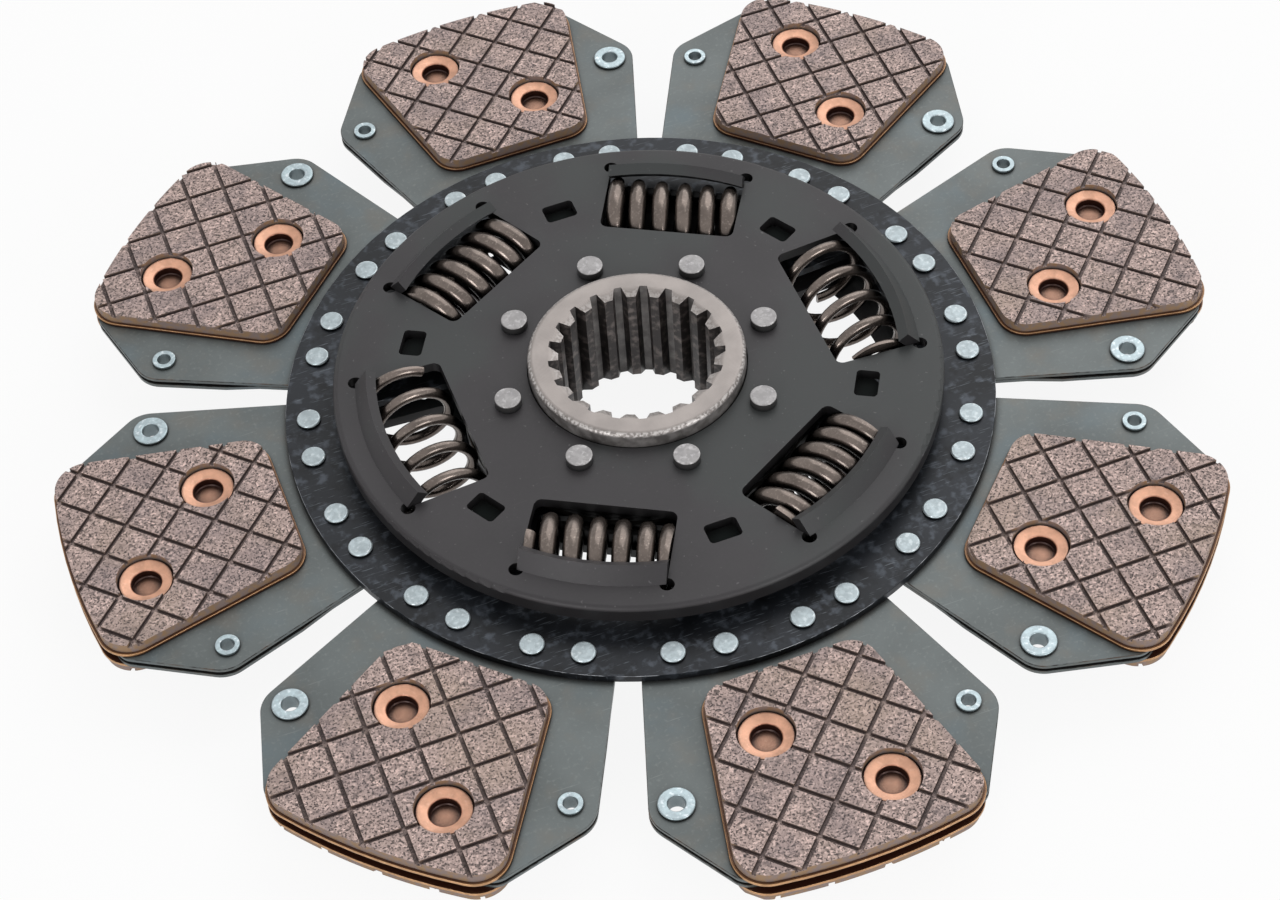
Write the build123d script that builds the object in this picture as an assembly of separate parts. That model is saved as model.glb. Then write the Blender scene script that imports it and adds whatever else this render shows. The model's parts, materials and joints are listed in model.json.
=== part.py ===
from build123d import *
from math import asin, ceil, cos, degrees, floor, hypot, pi, radians, sin, sqrt, tan
import os

# Clutch disc with eight sprung paddles, a torsion damper of six coil springs and a splined hub.
# Millimetres and degrees. Origin on the disc's axis, in the middle of the drive disc.
# +Z points out of the front face, and the first paddle lies along +X.

# Counts
paddle_count = 8
spring_count = 6
hub_rivet_count = 8
spline_teeth = 21

# Drive disc, the flat ring that carries the paddles and is driven round by the springs
disc_radius = 105.3
disc_thickness = 2.5
disc_bore_radius = 47.3
ring_rivet_circle = 98.3
ring_rivet_angles = [6.71, 15.29]

# Side plates, pressed shells on both sides of the drive disc
plate_radius = 90.0
plate_thickness = 3.4
plate_face_height = 11.55
plate_rim_depth = 5.4
plate_edge_round = 1.6
plate_hub_clearance = 0.4

# Spring windows, with a bent lip that keeps each spring in
window_inner_edge = 53.9
window_corner = 2.4
stiff_window_width = 41.1
stiff_window_splay = 1.43
soft_window_width = 47.5
soft_window_splay = 3.6
stiff_lip_radius = 82.2
soft_lip_radius = 83.3
lip_slope = 52.0
lip_rise = 4.75
lip_outer_bend = 4.5
lip_end_slit = 0.15
lip_spare_angle = 2.0
relief_hole_radius = 2.15
soft_windows = [0, 3]

# Square-cornered holes between the windows
slot_radial = 6.9
slot_across = 9.8
slot_corner = 1.3
slot_circle = 67.8

# Damper springs
spring_circle = 67.0
spring_diameter = 28.0
stiff_wire = 5.3
stiff_turns = 6.0
stiff_closed_turns = 0.75
soft_wire = 3.3
soft_turns = 4.6
soft_closed_turns = 0.25
spring_seat_clearance = 0.06
ground_end_share = 0.05
spring_turns_about_own_axis = [-90, -90, -90, -90, 90, 90]
coil_steps = 10
wire_sides = 6

# Drive disc windows reach a little further in than the springs
disc_window_inner_edge = 51.2
disc_window_outer_edge = 81.9
disc_window_corner = 1.0

# Hub
hub_radius = 32.2
hub_front = 16.8
hub_rear = -21.2
hub_edge_round = 1.8
hub_flange_radius = 45.5
hub_rivet_circle = 40.2
hub_rivet_head_radius = 3.95
hub_rivet_head_height = 2.8
hub_rivet_shank_radius = 3.0
spline_major_radius = 26.1
spline_minor_radius = 23.1
spline_tip_angle = 6.4
spline_groove_angle = 4.8
spline_phase = 4.8
spline_entry = 1.5

# Rings between the hub flange, the drive disc and the side plates
running_clearance = 0.05
ring_bore_clearance = 0.3
ring_spring_clearance = 0.4
bearing_ring_height = 8.0
friction_washer_thickness = 2.0
pressure_ring_thickness = 1.5
disc_spring_thickness = 1.2
support_plate_thickness = 1.6
support_lobe_radius = 72.0
support_lobe_width = 12.0

# Ring rivets, which hold the paddles on the drive disc
ring_rivet_head_radius = 3.55
ring_rivet_head_height = 1.25
ring_rivet_shank_radius = 2.5

# Paddles, each of two spring steel segments
segment_thickness = 1.2
segment_root_radius = 91.0
segment_root_share = 0.92
segment_outer_radius = 171.6
segment_shoulder = (141.4, 51.0)
segment_side_slope = 18.4
segment_tip_half_width = 35.0
segment_shoulder_round = 9.0
segment_tip_round = 6.0
segment_spread = 1.2
spread_start = 108.0
spread_end = 118.0

# Friction pads on their backing plates
pad_half_angle = 12.55
pad_outer_radius = 174.6
pad_inner_edge = 109.3
pad_outer_corner = 10.0
pad_inner_corner = 8.5
pad_face_height = 3.0
backing_thickness = 1.0
lining_setback = 0.9

# Grooves across the pads: two families of parallel lines, each pad cut with its own shift of both
groove_width = 1.25
groove_depth = 1.2
groove_pitch = 11.5
groove_turn = 45.0
groove_shifts = [
    (0.4, 0.3),
    (0.9, 0.6),
    (0.2, 0.3),
    (0.05, 0.2),
    (0.1, 0.0),
    (0.55, 0.75),
    (0.4, 0.9),
    (0.5, 0.15),
]

# Pad rivets, hollow, in recesses of the lining, as radial and tangential places on a front pad
pad_rivet_places = [(154.9, 13.1), (129.7, -12.65)]
pad_recess_radius = 8.2
pad_rivet_rim_radius = 7.7
pad_rivet_rim_depth = 1.8
pad_rivet_rim_thickness = 0.6
pad_rivet_rim_width = 0.8
pad_rivet_throat_flare = 0.75
pad_rivet_throat_drop = 0.75
pad_rivet_neck_radius = 5.0
pad_rivet_bore_radius = 4.35
pad_rivet_neck_drop = 0.65
pad_rivet_head_radius = 6.4
pad_rivet_head_thickness = 0.9

# Eyelets that tie the two segments of a paddle together at its shoulders
large_eyelet_place = (145.8, -16.9)
large_eyelet_flange_radius = 5.15
large_eyelet_bore_radius = 2.45
small_eyelet_place = (145.6, 17.0)
small_eyelet_flange_radius = 3.5
small_eyelet_bore_radius = 2.05
eyelet_wall = 1.0
eyelet_flange_thickness = 1.1

# Places along the axis that follow from the sizes above
disc_face = disc_thickness / 2
plate_inner_face = plate_face_height - plate_thickness
front_segment_top = -disc_face
front_segment_bottom = front_segment_top - segment_thickness
rear_root_bottom = front_segment_bottom - segment_thickness
rear_tip_top = front_segment_bottom - segment_spread
rear_tip_bottom = rear_tip_top - segment_thickness
paddle_middle = (front_segment_top + rear_tip_bottom) / 2
backing_top = front_segment_top + backing_thickness
paddle_pitch = 360 / paddle_count
window_pitch = 360 / spring_count


# How far a cutting shape runs past the material that it cuts
overcut = 2.0


def polar(radius, angle):
    """A point of the plane by its distance from the axis and its angle."""
    return (radius * cos(radians(angle)), radius * sin(radians(angle)))


def ring(inner_radius, outer_radius, bottom, top):
    """A flat ring about the axis."""
    section = Circle(outer_radius) - Circle(inner_radius)
    return extrude(Plane.XY.offset(bottom) * section, top - bottom)


def turned(points):
    """A turned solid from the points of its half section, as radius and height."""
    return revolve(make_face(Plane.XZ * Polyline(*points, close=True)), Axis.Z)


def around(shape, count):
    """Copies of one piece, evenly spaced about the axis."""
    return [Rot(0, 0, 360 * index / count) * shape for index in range(count)]


def turned_over(shape):
    """The same piece on the rear side of a paddle, turned over about the paddle's length."""
    lifted = Pos(0, 0, -paddle_middle) * shape
    return Pos(0, 0, paddle_middle) * (Rot(180, 0, 0) * lifted)


def save(name, pieces):
    """Write one node, made of one solid or of a group of like solids."""
    solids = [solid for piece in pieces for solid in piece.solids()]
    shape = solids[0] if len(solids) == 1 else Compound(solids)
    shape.label = name
    export_step(shape, os.path.join("parts", name + ".step"))


def save_each(name, pieces):
    """Write each of several like pieces as a node of its own, numbered from 1."""
    for number, piece in enumerate(pieces, 1):
        save(name + "_" + str(number), [piece])


# Windows
def is_soft(index):
    """Two opposite windows are wider and hold the soft springs."""
    return index in soft_windows


def lip_radius(index):
    """The radius of the bend line between the plate and the lip of a window."""
    return soft_lip_radius if is_soft(index) else stiff_lip_radius


def window_half_width(index, distance):
    """Half the width of a window at a distance from the axis, along the window's middle line."""
    width = soft_window_width if is_soft(index) else stiff_window_width
    splay = soft_window_splay if is_soft(index) else stiff_window_splay
    return width / 2 + (distance - window_inner_edge) * tan(radians(splay))


def window_outline(index, inner_edge, outer_edge, corner):
    """A window of the drive disc, with both long edges straight."""
    near = window_half_width(index, inner_edge)
    far = window_half_width(index, outer_edge)
    points = [(inner_edge, -near), (outer_edge, -far), (outer_edge, far), (inner_edge, near)]
    outline = make_face(Polyline(*points, close=True))
    return fillet(outline.vertices(), corner)


def lip_half_angle(index):
    """The angle from a window's middle line to the end of its outer edge on the bend line."""
    half_width = window_half_width(index, lip_radius(index))
    return degrees(asin(half_width / lip_radius(index)))


def plate_window(index):
    """A window of a side plate: straight inside and along the sides, and round on the bend line."""
    reach = plate_radius
    near = window_half_width(index, window_inner_edge)
    far = window_half_width(index, reach)
    points = [(window_inner_edge, -near), (reach, -far), (reach, far), (window_inner_edge, near)]
    outline = make_face(Polyline(*points, close=True)) & Circle(lip_radius(index))
    inner_corners = outline.vertices().sort_by(Axis.X)[:2]
    return fillet(inner_corners, window_corner)


def lip(index):
    """The lip along a window's outer edge, bent up over the spring from the plate."""
    slope = radians(lip_slope)
    bend = lip_radius(index)
    free_edge = (bend - lip_rise / tan(slope), plate_face_height + lip_rise)
    inward = (-plate_thickness * sin(slope), -plate_thickness * cos(slope))
    inner_free_edge = (free_edge[0] + inward[0], free_edge[1] + inward[1])
    inner_run = (inner_free_edge[1] - plate_inner_face) / tan(slope)
    root = bend + plate_thickness
    section = [
        (root, plate_face_height),
        (bend, plate_face_height),
        free_edge,
        inner_free_edge,
        (inner_free_edge[0] + inner_run, plate_inner_face),
        (root, plate_inner_face),
    ]
    end_angle = lip_half_angle(index) + lip_spare_angle
    face = make_face(Plane.XZ * Polyline(*section, close=True))
    outer_corner = face.vertices().group_by(Axis.Z)[0].sort_by(Axis.X)[0]
    face = fillet(outer_corner, lip_outer_bend)
    return revolve(Rot(0, 0, -end_angle) * face, Axis.Z, 2 * end_angle) & lip_sides(index)


def lip_sides(index):
    """The space over a window between its two sides, which the ends of the lip follow."""
    near = window_half_width(index, window_inner_edge) - lip_end_slit
    far = window_half_width(index, plate_radius) - lip_end_slit
    points = [(window_inner_edge, -near), (plate_radius, -far), (plate_radius, far), (window_inner_edge, near)]
    outline = make_face(Polyline(*points, close=True))
    return extrude(Plane.XY.offset(plate_inner_face) * outline, plate_thickness + lip_rise)


def relief_holes(index):
    """The round holes at both ends of a window's bend line."""
    corner = polar(lip_radius(index), lip_half_angle(index))
    hole = Circle(relief_hole_radius)
    return Pos(corner[0], corner[1]) * hole + Pos(corner[0], -corner[1]) * hole


# Side plates
def side_plate():
    """The front side plate, a dished disc with a turned-down rim, windows, lips and holes."""
    rim_bottom = plate_face_height - plate_rim_depth
    inner_wall = plate_radius - plate_thickness
    section = [
        (hub_radius + plate_hub_clearance, plate_inner_face),
        (hub_radius + plate_hub_clearance, plate_face_height),
        (plate_radius, plate_face_height),
        (plate_radius, rim_bottom),
        (inner_wall, rim_bottom),
        (inner_wall, plate_inner_face),
    ]
    plate = turned(section)
    outer_edge = plate.edges().filter_by(GeomType.CIRCLE).group_by(Axis.Z)[-1].sort_by(SortBy.RADIUS)[-1]
    plate = fillet(outer_edge, plate_edge_round)
    cuts = Sketch()
    for index in range(spring_count):
        angle = window_pitch * index
        cuts += Rot(0, 0, angle) * plate_window(index)
        slot = RectangleRounded(slot_radial, slot_across, slot_corner)
        cuts += Rot(0, 0, angle + window_pitch / 2) * Pos(slot_circle, 0) * slot
    for index in range(hub_rivet_count):
        rivet_place = polar(hub_rivet_circle, 360 * index / hub_rivet_count)
        cuts += Pos(*rivet_place) * Circle(hub_rivet_shank_radius)
    plate -= extrude(Plane.XY.offset(plate_inner_face) * cuts, plate_thickness)
    for index in range(spring_count):
        turn = Rot(0, 0, window_pitch * index)
        plate += turn * lip(index)
        plate -= extrude(Plane.XY.offset(plate_inner_face) * turn * relief_holes(index), plate_thickness)
    return plate


front_side_plate = side_plate()
rear_side_plate = mirror(front_side_plate, Plane.XY)


# Hub
def spline_groove():
    """One groove between two teeth of the splined bore, cut outwards from inside the bore."""
    half_bottom = spline_groove_angle / 2
    half_mouth = (360 / spline_teeth - spline_tip_angle) / 2
    points = [
        polar(spline_minor_radius - overcut, -half_mouth),
        polar(spline_minor_radius, -half_mouth),
        polar(spline_major_radius, -half_bottom),
        polar(spline_major_radius, half_bottom),
        polar(spline_minor_radius, half_mouth),
        polar(spline_minor_radius - overcut, half_mouth),
    ]
    return make_face(Polyline(*points, close=True))


def make_hub():
    """The splined hub: a barrel with a thick flange between the two side plates."""
    section = [
        (spline_minor_radius, hub_rear + spline_entry),
        (spline_major_radius, hub_rear),
        (hub_radius, hub_rear),
        (hub_radius, -plate_inner_face),
        (hub_flange_radius, -plate_inner_face),
        (hub_flange_radius, plate_inner_face),
        (hub_radius, plate_inner_face),
        (hub_radius, hub_front),
        (spline_major_radius, hub_front),
        (spline_minor_radius, hub_front - spline_entry),
    ]
    body = turned(section)
    rims = [
        edge
        for edge in body.edges().filter_by(GeomType.CIRCLE)
        if abs(edge.radius - hub_radius) < 0.01 and abs(edge.center().Z) > plate_face_height
    ]
    body = fillet(rims, hub_edge_round)
    grooves = Sketch()
    groove_pitch = 360 / spline_teeth
    for index in range(spline_teeth):
        grooves += Rot(0, 0, spline_phase + groove_pitch * (index + 0.5)) * spline_groove()
    body -= extrude(Plane.XY.offset(hub_rear) * grooves, hub_front - hub_rear)
    holes = Sketch()
    for index in range(hub_rivet_count):
        rivet_place = polar(hub_rivet_circle, 360 * index / hub_rivet_count)
        holes += Pos(*rivet_place) * Circle(hub_rivet_shank_radius)
    body -= extrude(Plane.XY.offset(-plate_inner_face) * holes, 2 * plate_inner_face)
    return body


hub = make_hub()

hub_rivet_top = plate_face_height + hub_rivet_head_height
hub_rivet = turned([
    (0, -hub_rivet_top),
    (hub_rivet_head_radius, -hub_rivet_top),
    (hub_rivet_head_radius, -plate_face_height),
    (hub_rivet_shank_radius, -plate_face_height),
    (hub_rivet_shank_radius, plate_face_height),
    (hub_rivet_head_radius, plate_face_height),
    (hub_rivet_head_radius, hub_rivet_top),
    (0, hub_rivet_top),
])
hub_rivets = around(Pos(hub_rivet_circle, 0, 0) * hub_rivet, hub_rivet_count)


# Drive disc and its rivets
def make_drive_disc():
    """The flat drive disc, with a window for each spring and a hole for each ring rivet."""
    outline = Circle(disc_radius) - Circle(disc_bore_radius)
    for index in range(spring_count):
        window = window_outline(index, disc_window_inner_edge, disc_window_outer_edge, disc_window_corner)
        outline -= Rot(0, 0, window_pitch * index) * window
    for place in ring_rivet_places():
        outline -= Pos(*place) * Circle(ring_rivet_shank_radius)
    return extrude(Plane.XY.offset(-disc_face) * outline, disc_thickness)


def paddle_rivet_angles():
    """The angles of one paddle's ring rivets, on both sides of its middle line."""
    return [side * angle for angle in ring_rivet_angles for side in (-1, 1)]


def ring_rivet_places():
    """The places of all ring rivets."""
    return [
        polar(ring_rivet_circle, paddle_pitch * index + angle)
        for index in range(paddle_count)
        for angle in paddle_rivet_angles()
    ]


drive_disc = make_drive_disc()

ring_rivet = turned([
    (0, rear_root_bottom - ring_rivet_head_height),
    (ring_rivet_head_radius, rear_root_bottom - ring_rivet_head_height),
    (ring_rivet_head_radius, rear_root_bottom),
    (ring_rivet_shank_radius, rear_root_bottom),
    (ring_rivet_shank_radius, disc_face),
    (ring_rivet_head_radius, disc_face),
    (ring_rivet_head_radius, disc_face + ring_rivet_head_height),
    (0, disc_face + ring_rivet_head_height),
])
drive_rivets = [Pos(*place) * ring_rivet for place in ring_rivet_places()]


# Paddle segments
def segment_outline():
    """The outline of a paddle segment, with its rivet and eyelet holes."""
    shoulder_x, shoulder_y = segment_shoulder
    side_slope = tan(radians(segment_side_slope))
    root_y = segment_root_radius * sin(radians(paddle_pitch / 2)) * segment_root_share
    root_x = shoulder_x - (shoulder_y - root_y) / side_slope
    tip_x = sqrt(segment_outer_radius**2 - segment_tip_half_width**2)
    root = ThreePointArc((root_x, -root_y), (segment_root_radius, 0), (root_x, root_y))
    tip = ThreePointArc((tip_x, segment_tip_half_width), (segment_outer_radius, 0), (tip_x, -segment_tip_half_width))
    far_side = Polyline((root_x, root_y), (shoulder_x, shoulder_y), (tip_x, segment_tip_half_width))
    near_side = Polyline((tip_x, -segment_tip_half_width), (shoulder_x, -shoulder_y), (root_x, -root_y))
    outline = make_face(root + far_side + tip + near_side)
    corners = outline.vertices().sort_by(Axis.X)
    outline = fillet(corners[2:4], segment_shoulder_round)
    tip_corners = outline.vertices().sort_by(Axis.X)[-2:]
    outline = fillet(tip_corners, segment_tip_round)
    for angle in paddle_rivet_angles():
        outline -= Pos(*polar(ring_rivet_circle, angle)) * Circle(ring_rivet_shank_radius)
    for place, bore in (
        (large_eyelet_place, large_eyelet_bore_radius),
        (small_eyelet_place, small_eyelet_bore_radius),
    ):
        outline -= Pos(*polar(*place)) * Circle(bore + eyelet_wall)
    return outline


paddle_outline = segment_outline()


def rivet_holes(side):
    """The holes for the pad rivets, on the front side (1) or the rear side (-1) of a paddle."""
    holes = Sketch()
    for radial, across in pad_rivet_places:
        holes += Pos(radial, side * across) * Circle(pad_rivet_neck_radius)
    return holes


def front_segment():
    """The flat segment under the drive disc and the front pad."""
    outline = paddle_outline - rivet_holes(1)
    return extrude(Plane.XY.offset(front_segment_bottom) * outline, segment_thickness)


def rear_segment():
    """The segment that lies on the front one at its root and spreads away from it under the pads."""
    segment_root_inner_reach = segment_root_radius * cos(radians(paddle_pitch / 2)) - overcut
    side_view = [
        (segment_root_inner_reach, front_segment_bottom),
        (spread_start, front_segment_bottom),
        (spread_end, rear_tip_top),
        (segment_outer_radius + overcut, rear_tip_top),
        (segment_outer_radius + overcut, rear_tip_bottom),
        (spread_end, rear_tip_bottom),
        (spread_start, rear_root_bottom),
        (segment_root_inner_reach, rear_root_bottom),
    ]
    width = 2 * (segment_shoulder[1] + overcut)
    strip = extrude(make_face(Plane.XZ * Polyline(*side_view, close=True)), width / 2, both=True)
    outline = paddle_outline - rivet_holes(-1)
    depth = front_segment_bottom - rear_tip_bottom
    return strip & extrude(Plane.XY.offset(rear_tip_bottom) * outline, depth)


# Friction pads
def pad_outline(setback):
    """The outline of a backing plate, or of a lining set back from its edge."""
    outer = pad_outer_radius - setback
    inner = pad_inner_edge + setback
    side_shift = setback / cos(radians(pad_half_angle))
    slope = tan(radians(pad_half_angle))
    half_inner = inner * slope - side_shift
    reach = pad_outer_radius + overcut
    half_reach = reach * slope - side_shift
    points = [(inner, -half_inner), (reach, -half_reach), (reach, half_reach), (inner, half_inner)]
    outline = make_face(Polyline(*points, close=True)) & Circle(outer)
    corners = outline.vertices().sort_by(Axis.X)
    outline = fillet(corners[:2], pad_inner_corner - setback)
    outer_corners = outline.vertices().sort_by(Axis.X)[-2:]
    return fillet(outer_corners, pad_outer_corner - setback)


def backing_plate():
    """The steel plate of a front pad."""
    outline = pad_outline(0) - rivet_holes(1)
    return extrude(Plane.XY.offset(front_segment_top) * outline, backing_thickness)


def groove_family(turn, shift):
    """Parallel grooves across a pad, square to a direction turned from the paddle's middle line."""
    middle = (pad_inner_edge + pad_outer_radius) / 2
    half_span = hypot(pad_outer_radius - middle, pad_outer_radius * tan(radians(pad_half_angle)))
    across = middle * cos(radians(turn))
    along = -middle * sin(radians(turn))
    first = floor((across - half_span) / groove_pitch)
    last = ceil((across + half_span) / groove_pitch)
    line = Rectangle(groove_width, 2 * half_span)
    places = [Pos((number + shift) * groove_pitch, along) for number in range(first, last + 1)]
    return Rot(0, 0, turn) * Sketch(Compound([place * face for place in places for face in line.faces()]))


def lining(blank, shifts):
    """One friction lining, cut from the plain blank, with its two families of grooves."""
    bottom = pad_face_height - groove_depth
    pad = blank
    for turn, shift in zip((groove_turn, -groove_turn), shifts):
        pad -= extrude(Plane.XY.offset(bottom) * groove_family(turn, shift), groove_depth + overcut)
    return pad


def lining_blank():
    """The friction lining of a front pad before its grooves, with a recess for each pad rivet."""
    outline = pad_outline(lining_setback)
    for place in pad_rivet_places:
        outline -= Pos(*place) * Circle(pad_recess_radius)
    return extrude(Plane.XY.offset(backing_top) * outline, pad_face_height - backing_top)


def pad_rivet():
    """A hollow pad rivet: a flared mouth in the recess, a neck, and a flat head behind the segment."""
    rim_height = pad_face_height - pad_rivet_rim_depth
    neck_height = backing_top - pad_rivet_neck_drop
    head_bottom = front_segment_bottom - pad_rivet_head_thickness
    throat_radius = pad_rivet_bore_radius + pad_rivet_throat_flare
    return turned([
        (0, head_bottom),
        (pad_rivet_head_radius, head_bottom),
        (pad_rivet_head_radius, front_segment_bottom),
        (pad_rivet_neck_radius, front_segment_bottom),
        (pad_rivet_neck_radius, backing_top),
        (pad_rivet_rim_radius, rim_height - pad_rivet_rim_thickness),
        (pad_rivet_rim_radius, rim_height),
        (pad_rivet_rim_radius - pad_rivet_rim_width, rim_height),
        (throat_radius, rim_height - pad_rivet_throat_drop),
        (pad_rivet_bore_radius, neck_height),
        (pad_rivet_bore_radius, front_segment_bottom),
        (0, front_segment_bottom),
    ])


def eyelet(place, flange_radius, bore_radius):
    """A tubular eyelet with a flange on each segment of the paddle."""
    barrel = bore_radius + eyelet_wall
    return Pos(*polar(*place)) * turned([
        (bore_radius, rear_tip_bottom - eyelet_flange_thickness),
        (flange_radius, rear_tip_bottom - eyelet_flange_thickness),
        (flange_radius, rear_tip_bottom),
        (barrel, rear_tip_bottom),
        (barrel, front_segment_top),
        (flange_radius, front_segment_top),
        (flange_radius, front_segment_top + eyelet_flange_thickness),
        (bore_radius, front_segment_top + eyelet_flange_thickness),
    ])


front_segments = around(front_segment(), paddle_count)
rear_segments = around(rear_segment(), paddle_count)
front_backing_plates = around(backing_plate(), paddle_count)
rear_backing_plates = around(turned_over(backing_plate()), paddle_count)
blank = lining_blank()
linings = [lining(blank, groove_shifts[index % len(groove_shifts)]) for index in range(paddle_count)]
front_pads = [Rot(0, 0, paddle_pitch * index) * pad for index, pad in enumerate(linings)]
rear_pads = [Rot(0, 0, paddle_pitch * index) * turned_over(pad) for index, pad in enumerate(linings)]
one_pad_rivets = [Pos(*place) * pad_rivet() for place in pad_rivet_places]
front_pad_rivets = [copy for rivet in one_pad_rivets for copy in around(rivet, paddle_count)]
rear_pad_rivets = [copy for rivet in one_pad_rivets for copy in around(turned_over(rivet), paddle_count)]
large_eyelets = around(
    eyelet(large_eyelet_place, large_eyelet_flange_radius, large_eyelet_bore_radius), paddle_count
)
small_eyelets = around(
    eyelet(small_eyelet_place, small_eyelet_flange_radius, small_eyelet_bore_radius), paddle_count
)


# Damper springs
def coil_points(wire, turns, closed_turns, length):
    """Points along the middle of the wire: closed ends and an even pitch between."""
    radius = (spring_diameter - wire) / 2
    end_height = ground_end_share * wire
    closed_rise = wire * closed_turns
    active_rise = length - 2 * (end_height + closed_rise)
    points = []
    for step in range(round(turns * coil_steps) + 1):
        turn = step / coil_steps
        if turn <= closed_turns:
            height = end_height + wire * turn
        elif turn >= turns - closed_turns:
            height = length - end_height - wire * (turns - turn)
        else:
            active_share = (turn - closed_turns) / (turns - 2 * closed_turns)
            height = end_height + closed_rise + active_rise * active_share
        angle = 2 * pi * turn
        points.append(Vector(radius * cos(angle), radius * sin(angle), height - length / 2))
    return points


def coil_spring(wire, turns, closed_turns, length):
    """A coil spring along Z with ground ends, drawn as short straight runs of a many-sided wire."""
    points = coil_points(wire, turns, closed_turns, length)
    runs = [(after - before).normalized() for before, after in zip(points, points[1:])]
    start = Plane(origin=points[0], z_dir=runs[0])
    flat_radius = wire / 2 / sqrt(cos(pi / wire_sides))
    corners = [
        start.from_local_coords(Vector(flat_radius * cos(angle), flat_radius * sin(angle), 0))
        for angle in (2 * pi * side / wire_sides for side in range(wire_sides))
    ]
    sections = [corners]
    for index, run in enumerate(runs):
        following = runs[min(index + 1, len(runs) - 1)]
        normal = (run + following).normalized()
        target = points[index + 1]
        corners = [corner + run * ((target - corner).dot(normal) / run.dot(normal)) for corner in corners]
        sections.append(corners)
    faces = [Face(Wire.make_polygon(sections[0])), Face(Wire.make_polygon(sections[-1]))]
    for lower, upper in zip(sections, sections[1:]):
        for side in range(wire_sides):
            following = (side + 1) % wire_sides
            loop = [lower[side], lower[following], upper[following], upper[side]]
            faces.append(Face(Wire.make_polygon(loop)))
    coil = Solid(Shell(faces))
    return coil & Box(2 * spring_diameter, 2 * spring_diameter, length)


def window_spring(index):
    """The spring of one window, lying across it with its ends against the window's sides."""
    wire = soft_wire if is_soft(index) else stiff_wire
    turns = soft_turns if is_soft(index) else stiff_turns
    closed_turns = soft_closed_turns if is_soft(index) else stiff_closed_turns
    inner_reach = spring_circle - spring_diameter / 2
    length = 2 * (window_half_width(index, inner_reach) - spring_seat_clearance)
    coil = Rot(0, 0, spring_turns_about_own_axis[index]) * coil_spring(wire, turns, closed_turns, length)
    coil = Rot(90, 0, 0) * coil
    return Rot(0, 0, window_pitch * index) * Pos(spring_circle, 0, 0) * coil


springs = [window_spring(index) for index in range(spring_count)]

# Rings of the damper, inside the springs
ring_inner_radius = disc_bore_radius + ring_bore_clearance
ring_outer_radius = spring_circle - spring_diameter / 2 - ring_spring_clearance
washer_top = disc_face + friction_washer_thickness
pressure_top = washer_top + pressure_ring_thickness
support_bottom = plate_inner_face - support_plate_thickness

bearing_ring = ring(
    hub_flange_radius + running_clearance,
    disc_bore_radius - running_clearance,
    -bearing_ring_height / 2,
    bearing_ring_height / 2,
)
front_friction_washer = ring(ring_inner_radius, ring_outer_radius, disc_face, washer_top)
rear_friction_washer = mirror(front_friction_washer, Plane.XY)
pressure_ring = ring(ring_inner_radius, ring_outer_radius, washer_top, pressure_top)
disc_spring = turned([
    (ring_outer_radius, pressure_top),
    (ring_outer_radius, pressure_top + disc_spring_thickness),
    (ring_inner_radius, support_bottom),
    (ring_inner_radius, support_bottom - disc_spring_thickness),
])
rear_thrust_ring = ring(ring_inner_radius, ring_outer_radius, -plate_inner_face, -washer_top)


def make_support_plate():
    """The plate under the front side plate, with a round-ended lobe under each square hole."""
    outline = Circle(ring_outer_radius)
    lobe_length = support_lobe_radius - support_lobe_width / 2
    for index in range(spring_count):
        bar = Pos(lobe_length / 2, 0) * Rectangle(lobe_length, support_lobe_width)
        lobe = bar + Pos(lobe_length, 0) * Circle(support_lobe_width / 2)
        outline += Rot(0, 0, window_pitch * (index + 0.5)) * lobe
    outline -= Circle(ring_inner_radius)
    return extrude(Plane.XY.offset(support_bottom) * outline, support_plate_thickness)


support_plate = make_support_plate()

os.makedirs("parts", exist_ok=True)
save("hub", [hub])
save("hub_rivets", hub_rivets)
save("front_side_plate", [front_side_plate])
save("rear_side_plate", [rear_side_plate])
save("drive_disc", [drive_disc])
save("drive_rivets", drive_rivets)
save_each("front_segment", front_segments)
save_each("rear_segment", rear_segments)
save_each("front_pad", front_pads)
save_each("rear_pad", rear_pads)
save("front_backing_plates", front_backing_plates)
save("rear_backing_plates", rear_backing_plates)
save("front_pad_rivets", front_pad_rivets)
save("rear_pad_rivets", rear_pad_rivets)
save("large_eyelets", large_eyelets)
save("small_eyelets", small_eyelets)
save_each("spring", springs)
save("bearing_ring", [bearing_ring])
save("front_friction_washer", [front_friction_washer])
save("rear_friction_washer", [rear_friction_washer])
save("pressure_ring", [pressure_ring])
save("disc_spring", [disc_spring])
save("rear_thrust_ring", [rear_thrust_ring])
save("support_plate", [support_plate])
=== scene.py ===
import json
from math import atan2, cos, pi, radians, sin

import bpy
from mathutils import Matrix, Quaternion, Vector

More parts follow.
